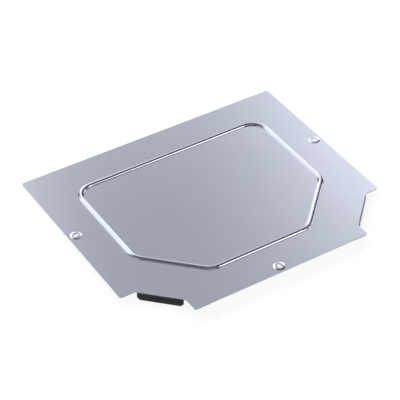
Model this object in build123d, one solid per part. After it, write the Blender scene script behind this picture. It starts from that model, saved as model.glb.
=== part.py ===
from build123d import *
import os
from math import asin, atan2, degrees, hypot, sqrt, tan

# Duct cover: one flat sheet of steel with both front corners cut away, a flange folded
# down from each cut, a raised stiffening bead and three raised screw pads with slots.
# All sizes are in millimetres. X runs along the back edge, Y points to the back edge and
# Z points up, out of the visible face. The origin is the middle of the flat underside.

# Sheet
cover_width = 360.0
cover_depth = 300.0
sheet_thickness = 1.0
outer_corner_radius = 3.0

# Cut front corners
corner_cut = 61.0
notch_corner_radius = 2.0

# Flanges, folded down along the slanting side of each cut
flange_length = 54.0
flange_height = 10.0
flange_face_distance = 55.0
bend_inside_radius = 0.5
flange_corner_chamfer = 3.5

# Stiffening bead
bead_margin = 47.0
bead_cut_distance = 112.8
bead_turn_radius = 22.0
bead_width = 7.5
bead_height = 2.4
bead_inside_radius = 2.7
bead_foot_radius = 0.3

# Screw pads and their slots
pad_edge_distance = 9.5
pad_base_diameter = 14.4
pad_flat_diameter = 10.2
pad_height = 0.5
slot_length = 7.3
slot_width = 4.3

# Flat rim kept around each pressed form, where it joins the flat sheet
form_rim = 0.5

# Places that follow from the sizes above
half_width = cover_width / 2
half_depth = cover_depth / 2
bend_outside_radius = bend_inside_radius + sheet_thickness
bend_start_distance = flange_face_distance + bend_outside_radius
tab_length = sqrt(2) * bend_start_distance - corner_cut
side_pad_y = corner_cut / 2


def flank_slope(run, rise, crest_radius, foot_radius):
    """Slope of the straight flank between a foot arc and a crest arc."""
    both_radii = crest_radius + foot_radius
    drop = both_radii - rise
    return asin(both_radii / hypot(run, drop)) - atan2(drop, run)


def sheet_section(line_at_depth):
    """Section of the sheet, between the lines at no depth and at the depth of its thickness."""
    upper, lower = line_at_depth(0), line_at_depth(sheet_thickness)
    ends = [Line(upper @ 0, lower @ 0), Line(upper @ 1, lower @ 1)]
    return make_face([*upper.edges(), *lower.edges(), *ends])


def cover_outline():
    """The cover seen from above, with a notch at each end of its slanting cuts."""
    left_outer = [
        (-half_width, half_depth),
        (-half_width, corner_cut - half_depth),
        (corner_cut - half_width, -half_depth),
    ]
    left_notch = [
        (tab_length - half_width, corner_cut - half_depth),
        (corner_cut - half_width, tab_length - half_depth),
    ]
    left_side = left_outer[:2] + left_notch + left_outer[2:]
    right_side = [(-x, y) for x, y in reversed(left_side)]
    outline = make_face(Polyline(*left_side, *right_side, close=True))

    def corners(places):
        wanted = [Vector(sign * x, y) for x, y in places for sign in (-1, 1)]
        return [v for v in outline.vertices() if min((v.center() - w).length for w in wanted) < 0.01]

    outline = fillet(corners(left_notch), notch_corner_radius)
    return fillet(corners(left_outer), outer_corner_radius)


def bead_path():
    """Middle line of the bead: a rectangle with its two front corners cut at 45 degrees."""
    side_x = half_width - bead_margin
    end_y = half_depth - bead_margin
    cut = sqrt(2) * bead_cut_distance - 2 * bead_margin
    corners = [
        (-side_x, end_y),
        (side_x, end_y),
        (side_x, cut - end_y),
        (side_x - cut, -end_y),
        (cut - side_x, -end_y),
        (-side_x, cut - end_y),
    ]
    return FilletPolyline(*corners, radius=bead_turn_radius, close=True)


def bead_strip_width():
    return bead_width + 2 * form_rim


def bead_line(depth):
    """Line across the bead from rim to rim, at a depth below the top of the sheet."""
    crest_radius = bead_inside_radius + sheet_thickness
    slope = flank_slope(bead_width / 2, bead_height, crest_radius, bead_foot_radius)
    foot_radius = bead_foot_radius + depth
    flank_x = bead_width / 2 - foot_radius * tan(slope / 2)
    rim_x = bead_strip_width() / 2
    return FilletPolyline(
        (-rim_x, -depth),
        (-flank_x, -depth),
        (0, flank_x * tan(slope) - depth),
        (flank_x, -depth),
        (rim_x, -depth),
        radius=[foot_radius, crest_radius - depth, foot_radius],
    )


def bead():
    """The bead with its rims, pressed up from the sheet all the way round."""
    lengths = []
    for middle in bead_path().edges():
        start, direction = middle @ 0, middle % 0
        across = Plane(start, x_dir=Vector(0, 0, 1).cross(direction), z_dir=direction)
        section = across * sheet_section(bead_line)
        if middle.geom_type == GeomType.LINE:
            lengths.append(extrude(section, middle.length))
        else:
            centre = middle.arc_center
            turn = Axis(centre, (start - centre).cross(direction))
            lengths.append(revolve(section, turn, degrees(middle.length / bead_turn_radius)))
    return Pos(0, 0, sheet_thickness) * (lengths[0] + lengths[1:])


def bead_ring():
    """The area that the bead and its rims take up in the sheet."""
    inside = make_face(bead_path())
    half_strip = bead_strip_width() / 2
    return offset(inside, half_strip) - offset(inside, -half_strip)


def pad_places():
    """Middle of each pad, and the direction of its slot in degrees from X."""
    side_x = half_width - pad_edge_distance
    return [
        (-side_x, side_pad_y, 0),
        (side_x, side_pad_y, 0),
        (0, pad_edge_distance - half_depth, 90),
    ]


def pad_rim_radius():
    return pad_base_diameter / 2 + form_rim


def pad_line(depth):
    """Line from the middle of a pad to its rim, at a depth below the top of the sheet."""
    # The press stretches the flank, so the sheet keeps its thickness measured straight down
    top, foot = pad_height - depth, -depth
    flank_top = (pad_flat_diameter / 2, top)
    flank_foot = (pad_base_diameter / 2, foot)
    flank = Spline(flank_top, flank_foot, tangents=[(1, 0), (1, 0)])
    return Line((0, top), flank_top) + flank + Line(flank_foot, (pad_rim_radius(), foot))


def pad():
    """One round pad with its rim, pressed up from the sheet, centred on the origin."""
    whole = revolve(Plane.XZ * sheet_section(pad_line), axis=Axis.Z)
    slot = extrude(SlotOverall(slot_length, slot_width), pad_height + sheet_thickness, both=True)
    return Pos(0, 0, sheet_thickness) * (whole - slot)


def flange_line(depth):
    """Line round the bend of a flange, at a depth below the outside of the sheet."""
    face, top = flange_face_distance + depth, sheet_thickness - depth
    return FilletPolyline(
        (face, sheet_thickness - flange_height),
        (face, top),
        (bend_start_distance + form_rim, top),
        radius=bend_outside_radius - depth,
    )


def left_flange():
    """The flange folded down along the left cut, with its bend."""
    uncut_corner = (-half_width, -half_depth, 0)
    across = Plane(uncut_corner, x_dir=(1, 1, 0), z_dir=(1, -1, 0))
    flange = extrude(across * sheet_section(flange_line), flange_length / 2, both=True)
    lower_corners = flange.edges().filter_by(Axis((0, 0, 0), (1, 1, 0))).group_by(Axis.Z)[0]
    return chamfer(lower_corners, flange_corner_chamfer)


def duct_cover():
    """The whole cover as one piece of sheet."""
    flat_area = cover_outline() - bead_ring()
    for x, y, angle in pad_places():
        flat_area -= Pos(x, y) * Circle(pad_rim_radius())
    flange = left_flange()
    cover = extrude(flat_area, sheet_thickness) + bead()
    cover += [flange, mirror(flange, about=Plane.YZ)]
    for x, y, angle in pad_places():
        cover += Pos(x, y) * Rot(0, 0, angle) * pad()
    return cover


os.makedirs("parts", exist_ok=True)
export_step(duct_cover(), "parts/duct_cover.step")
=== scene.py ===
from math import atan2, radians, sqrt

import bmesh
import bpy
from mathutils import Matrix, Vector

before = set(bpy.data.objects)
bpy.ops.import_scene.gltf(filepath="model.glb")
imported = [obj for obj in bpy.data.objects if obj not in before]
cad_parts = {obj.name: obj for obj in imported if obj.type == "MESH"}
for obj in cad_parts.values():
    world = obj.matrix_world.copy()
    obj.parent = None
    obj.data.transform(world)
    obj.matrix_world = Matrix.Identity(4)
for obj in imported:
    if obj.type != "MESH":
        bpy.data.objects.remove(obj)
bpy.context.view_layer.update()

MM = 0.001
half_turn = 180.0
white = (1, 1, 1, 1)

# The steel sheet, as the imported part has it
half_width = 180 * MM
half_depth = 150 * MM
flange_bottom = -9 * MM
flange_rear_y = -94.6 * MM
bend_start_distance = 56.5 * MM

# The steel: its colours, from patch to patch, and its roughness where the grain is low and high
cool_steel = (0.415, 0.455, 0.53, 1)
warm_steel = (0.445, 0.45, 0.522, 1)
steel_roughness = (0.12, 0.14)
low_grain = 0.3
high_grain = 0.7

# The near black painted reflection on the flanges, with paler streaks, which starts just below the
# start of their bends
flange_painted_black = (0.008, 0.01, 0.014, 1)
flange_painted_streak = (0.05, 0.052, 0.056, 1)
dark_from = 0.55 * MM
dark_fade = 0.1 * MM

# Patterns in the steel: how far they are squeezed along X, Y and Z, and how fine they are
grain_squeeze = (0.02, 1.0, 1.0)
grain_fineness = 1800.0
streak_squeeze = (0.06, 0.06, 1.0)
streak_fineness = 420.0
cloud_fineness = 11.0
cloud_roughness = 0.45
pattern_detail = 2.0

# How far the soft waves and the fine scratches stand up from the flat sheet
wave_height = 0.1 * MM
scratch_height = 0.002 * MM

# The camera, matched to the photograph
camera_place = Vector((-788.7, -1225.3, 1215.1)) * MM
camera_target = Vector((-13.5, 7.7, 1.0)) * MM
camera_roll = radians(-0.17)
camera_lens = 142.3
camera_sensor = 36.0

# The studio. Headings are measured clockwise from the way the photograph looks.
studio_heading = radians(32.2)
studio_fill = 0.02

# Each panel: middle heading, half width, bottom, top, softness (degrees), strength
studio_panels = [
    # Ahead, in what the flat sheet and its bead mirror from the photograph's side
    (-65.5, 19.0, 6.5, 56.5, 16.5, 1.85),
    (-28.5, 18.0, 37.0, 56.5, 12.0, 1.85),
    (-19.0, 9.0, 5.0, 36.0, 8.0, 1.85),
    (-3.5, 26.5, 3.5, 63.0, 13.5, 0.73),
    (-8.5, 27.5, 1.0, 36.5, 8.5, 0.46),
    (13.5, 7.5, 9.5, 40.0, 14.5, 1.97),
    (42.0, 12.0, 32.0, 54.0, 8.0, 0.35),
    # To the right
    (75.5, 26.0, 3.5, 9.5, 3.0, 3.36),
    (76.0, 25.0, 13.0, 54.0, 8.0, 0.34),
    (111.0, 10.0, 25.0, 50.5, 4.0, 3.25),
    # Behind the camera
    (172.0, 74.0, -2.0, 16.0, 5.0, 0.70),
    (186.0, 42.0, 16.0, 27.0, 6.0, 0.64),
    (158.0, 32.0, 28.0, 62.0, 8.0, 0.36),
    (206.0, 16.0, 34.0, 62.0, 10.0, 0.20),
    # To the left
    (-112.0, 30.0, 14.0, 60.0, 12.0, 0.50),
    # Overhead
    (0.0, 200.0, 72.0, 100.0, 10.0, 0.32),
]

# The floor, a hair below the flanges and the back edge that stand on it
floor_gap = 0.2 * MM
floor_reach = 12.0
floor_colour = (0.28, 0.28, 0.28, 1)
floor_roughness = 0.9
floor_glow = 0.84


def new_node(nodes, kind, **settings):
    node = nodes.new(kind)
    for name, value in settings.items():
        setattr(node, name, value)
    return node


def feed(links, socket, value):
    """Link a socket to another node's output, or set it to a number, a vector or a colour."""
    if isinstance(value, bpy.types.NodeSocket):
        links.new(value, socket)
    else:
        socket.default_value = value


def calculate(nodes, links, operation, *values):
    """The result of a Math node, fed with numbers or other nodes' outputs."""
    node = new_node(nodes, "ShaderNodeMath", operation=operation)
    for socket, value in zip(node.inputs, values):
        feed(links, socket, value)
    return node.outputs[0]


def change_range(nodes, links, value, old_range, new_range, blend="LINEAR"):
    """Turn values in the old range into values in the new one, and hold them at its ends."""
    node = new_node(nodes, "ShaderNodeMapRange", interpolation_type=blend)
    links.new(value, node.inputs["Value"])
    for label, limits in (("From", old_range), ("To", new_range)):
        node.inputs[label + " Min"].default_value = limits[0]
        node.inputs[label + " Max"].default_value = limits[1]
    return node.outputs["Result"]


def new_group(name, inputs, outputs):
    """An empty shader node group, its nodes and links, and its inputs and outputs seen from inside."""
    group = bpy.data.node_groups.new(name, "ShaderNodeTree")
    for label, value in inputs.items():
        socket = group.interface.new_socket(label, in_out="INPUT", socket_type="NodeSocketFloat")
        socket.default_value = value
    for label in outputs:
        group.interface.new_socket(label, in_out="OUTPUT", socket_type="NodeSocketFloat")
    given = group.nodes.new("NodeGroupInput")
    result = group.nodes.new("NodeGroupOutput")
    return group, group.nodes, group.links, given.outputs, result.inputs


def light_panel_group():
    """A soft-edged patch of light in the studio, given by its directions in degrees."""
    inputs = {
        "Heading": 0.0,
        "Height": 0.0,
        "Middle": 0.0,
        "Half Width": 20.0,
        "Bottom": 0.0,
        "Top": 60.0,
        "Softness": 6.0,
    }
    group, nodes, links, given, result = new_group("light_panel", inputs, ["Light"])

    def soft_step(value, edge, before, after):
        """Go softly from one strength to another as a value passes an edge."""
        past_edge = calculate(nodes, links, "SUBTRACT", value, edge)
        share = calculate(nodes, links, "DIVIDE", past_edge, given["Softness"])
        return change_range(nodes, links, share, (-0.5, 0.5), (before, after), "SMOOTHSTEP")

    aside = calculate(nodes, links, "SUBTRACT", given["Heading"], given["Middle"])
    turn = calculate(nodes, links, "WRAP", aside, -half_turn, half_turn)
    off_middle = calculate(nodes, links, "ABSOLUTE", turn)
    sides = soft_step(off_middle, given["Half Width"], 1.0, 0.0)
    above = soft_step(given["Height"], given["Bottom"], 0.0, 1.0)
    below = soft_step(given["Height"], given["Top"], 1.0, 0.0)
    band = calculate(nodes, links, "MULTIPLY", above, below)
    patch = calculate(nodes, links, "MULTIPLY", band, sides)
    links.new(patch, result["Light"])
    return group


def make_studio():
    """Soft studio light all round: dim walls and ceiling with brighter panels."""
    world = bpy.data.worlds.new("soft_studio")
    bpy.context.scene.world = world
    world.use_nodes = True
    nodes, links = world.node_tree.nodes, world.node_tree.links
    nodes.clear()
    output = nodes.new("ShaderNodeOutputWorld")
    background = nodes.new("ShaderNodeBackground")
    background.inputs["Color"].default_value = white
    links.new(background.outputs[0], output.inputs["Surface"])
    place = nodes.new("ShaderNodeTexCoord")
    turned = new_node(nodes, "ShaderNodeVectorRotate", rotation_type="Z_AXIS")
    turned.inputs["Angle"].default_value = studio_heading
    links.new(place.outputs["Generated"], turned.inputs["Vector"])
    parts = nodes.new("ShaderNodeSeparateXYZ")
    links.new(turned.outputs[0], parts.inputs[0])
    around = calculate(nodes, links, "ARCTAN2", parts.outputs["X"], parts.outputs["Y"])
    upward = calculate(nodes, links, "ARCSINE", parts.outputs["Z"])
    heading = calculate(nodes, links, "DEGREES", around)
    height = calculate(nodes, links, "DEGREES", upward)
    group = light_panel_group()
    light = studio_fill
    for middle, half_angle, bottom, top, softness, strength in studio_panels:
        panel = new_node(nodes, "ShaderNodeGroup", node_tree=group)
        given = {
            "Heading": heading,
            "Height": height,
            "Middle": middle,
            "Half Width": half_angle,
            "Bottom": bottom,
            "Top": top,
            "Softness": softness,
        }
        for label, value in given.items():
            feed(links, panel.inputs[label], value)
        light = calculate(nodes, links, "MULTIPLY_ADD", panel.outputs["Light"], strength, light)
    links.new(light, background.inputs["Strength"])


def pale_floor_material():
    """Pale and matt, and near white wherever the camera or a reflection sees it."""
    material = bpy.data.materials.new("pale_floor")
    material.use_nodes = True
    nodes, links = material.node_tree.nodes, material.node_tree.links
    shader = nodes["Principled BSDF"]
    shader.inputs["Base Color"].default_value = floor_colour
    shader.inputs["Roughness"].default_value = floor_roughness
    shader.inputs["Specular IOR Level"].default_value = 0.0
    shader.inputs["Emission Color"].default_value = white
    rays = nodes.new("ShaderNodeLightPath")
    seen = rays.outputs["Is Camera Ray"]
    for kind in ("Is Glossy Ray", "Is Transmission Ray"):
        seen = calculate(nodes, links, "MAXIMUM", seen, rays.outputs[kind])
    glow = calculate(nodes, links, "MULTIPLY", seen, floor_glow)
    links.new(glow, shader.inputs["Emission Strength"])
    return material


def make_floor():
    """A wide floor, tilted a little because the cover rests on its flanges and its back edge."""
    tilt = atan2(-flange_bottom, half_depth - flange_rear_y)
    place = Matrix.Translation((0, half_depth, -floor_gap)) @ Matrix.Rotation(tilt, 4, "X")
    shape = bmesh.new()
    bmesh.ops.create_grid(shape, x_segments=1, y_segments=1, size=floor_reach, matrix=place)
    mesh = bpy.data.meshes.new("floor")
    shape.to_mesh(mesh)
    shape.free()
    mesh.materials.append(pale_floor_material())
    floor = bpy.data.objects.new("floor", mesh)
    bpy.context.scene.collection.objects.link(floor)


def make_camera():
    data = bpy.data.cameras.new("camera")
    data.lens = camera_lens
    data.sensor_width = camera_sensor
    camera = bpy.data.objects.new("camera", data)
    look = (camera_target - camera_place).to_track_quat("-Z", "Y").to_matrix().to_4x4()
    roll = Matrix.Rotation(camera_roll, 4, "Z")
    camera.matrix_world = Matrix.Translation(camera_place) @ look @ roll
    bpy.context.scene.collection.objects.link(camera)
    bpy.context.scene.camera = camera


def painted_flange_mask(nodes, links, place):
    """1 on the folded flanges, below the start of their bends, where the dark reflection is painted,
    and 0 on the rest of the sheet.
    """
    parts = nodes.new("ShaderNodeSeparateXYZ")
    links.new(place, parts.inputs[0])
    aside = calculate(nodes, links, "ABSOLUTE", parts.outputs["X"])
    from_corner = calculate(nodes, links, "SUBTRACT", parts.outputs["Y"], aside)
    bend_start = sqrt(2) * bend_start_distance - half_width - half_depth
    near_cut = calculate(nodes, links, "LESS_THAN", from_corner, bend_start)
    fade = (dark_from - dark_fade, dark_from + dark_fade)
    low = change_range(nodes, links, parts.outputs["Z"], fade, (1.0, 0.0), "SMOOTHSTEP")
    return calculate(nodes, links, "MULTIPLY", near_cut, low)


def soft_noise(nodes, links, place, fineness):
    noise = nodes.new("ShaderNodeTexNoise")
    links.new(place, noise.inputs["Vector"])
    noise.inputs["Scale"].default_value = fineness
    noise.inputs["Detail"].default_value = pattern_detail
    return noise


def fine_lines(nodes, links, place, squeeze, fineness):
    """Fine lines, from 0 to 1, that run along the directions in which places are squeezed together."""
    squeezed = new_node(nodes, "ShaderNodeVectorMath", operation="MULTIPLY")
    links.new(place, squeezed.inputs[0])
    squeezed.inputs[1].default_value = squeeze
    return soft_noise(nodes, links, squeezed.outputs[0], fineness).outputs["Fac"]


def sheet_clouds(nodes, links, place):
    """Broad soft patches, the size of a hand, from 0 to 1."""
    clouds = soft_noise(nodes, links, place, cloud_fineness)
    clouds.inputs["Roughness"].default_value = cloud_roughness
    return clouds.outputs["Fac"]


def mix_colours(nodes, links, factor, first, second):
    mixed = new_node(nodes, "ShaderNodeMix", data_type="RGBA")
    for label, value in (("Factor", factor), ("A", first), ("B", second)):
        feed(links, mixed.inputs[label], value)
    return mixed.outputs["Result"]


def raised(nodes, links, pattern, height):
    """A Bump node whose pattern stands up by a height."""
    bump = nodes.new("ShaderNodeBump")
    links.new(pattern, bump.inputs["Height"])
    bump.inputs["Distance"].default_value = height
    return bump


def satin_steel():
    """Smooth rolled steel sheet with a satin sheen, its flanges painted near black as a dark
    reflection.
    """
    material = bpy.data.materials.new("satin_steel")
    material.use_nodes = True
    nodes, links = material.node_tree.nodes, material.node_tree.links
    shader = nodes["Principled BSDF"]
    shader.inputs["Metallic"].default_value = 1.0
    place = nodes.new("ShaderNodeTexCoord").outputs["Object"]
    grain = fine_lines(nodes, links, place, grain_squeeze, grain_fineness)
    streaks = fine_lines(nodes, links, place, streak_squeeze, streak_fineness)
    clouds = sheet_clouds(nodes, links, place)
    steel = mix_colours(nodes, links, clouds, cool_steel, warm_steel)
    # The flanges get a painted dark reflection, near black with paler streaks, in place of the steel
    # colour
    painted_flange_reflection = mix_colours(nodes, links, streaks, flange_painted_black, flange_painted_streak)
    flange = painted_flange_mask(nodes, links, place)
    colour = mix_colours(nodes, links, flange, steel, painted_flange_reflection)
    links.new(colour, shader.inputs["Base Color"])
    roughness = change_range(nodes, links, grain, (low_grain, high_grain), steel_roughness)
    links.new(roughness, shader.inputs["Roughness"])
    waves = raised(nodes, links, clouds, wave_height)
    scratches = raised(nodes, links, grain, scratch_height)
    links.new(waves.outputs["Normal"], scratches.inputs["Normal"])
    links.new(scratches.outputs["Normal"], shader.inputs["Normal"])
    return material


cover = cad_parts["duct_cover"]
cover.material_slots[0].material = satin_steel()
make_studio()
make_floor()
make_camera()
bpy.context.scene.view_settings.view_transform = "Standard"
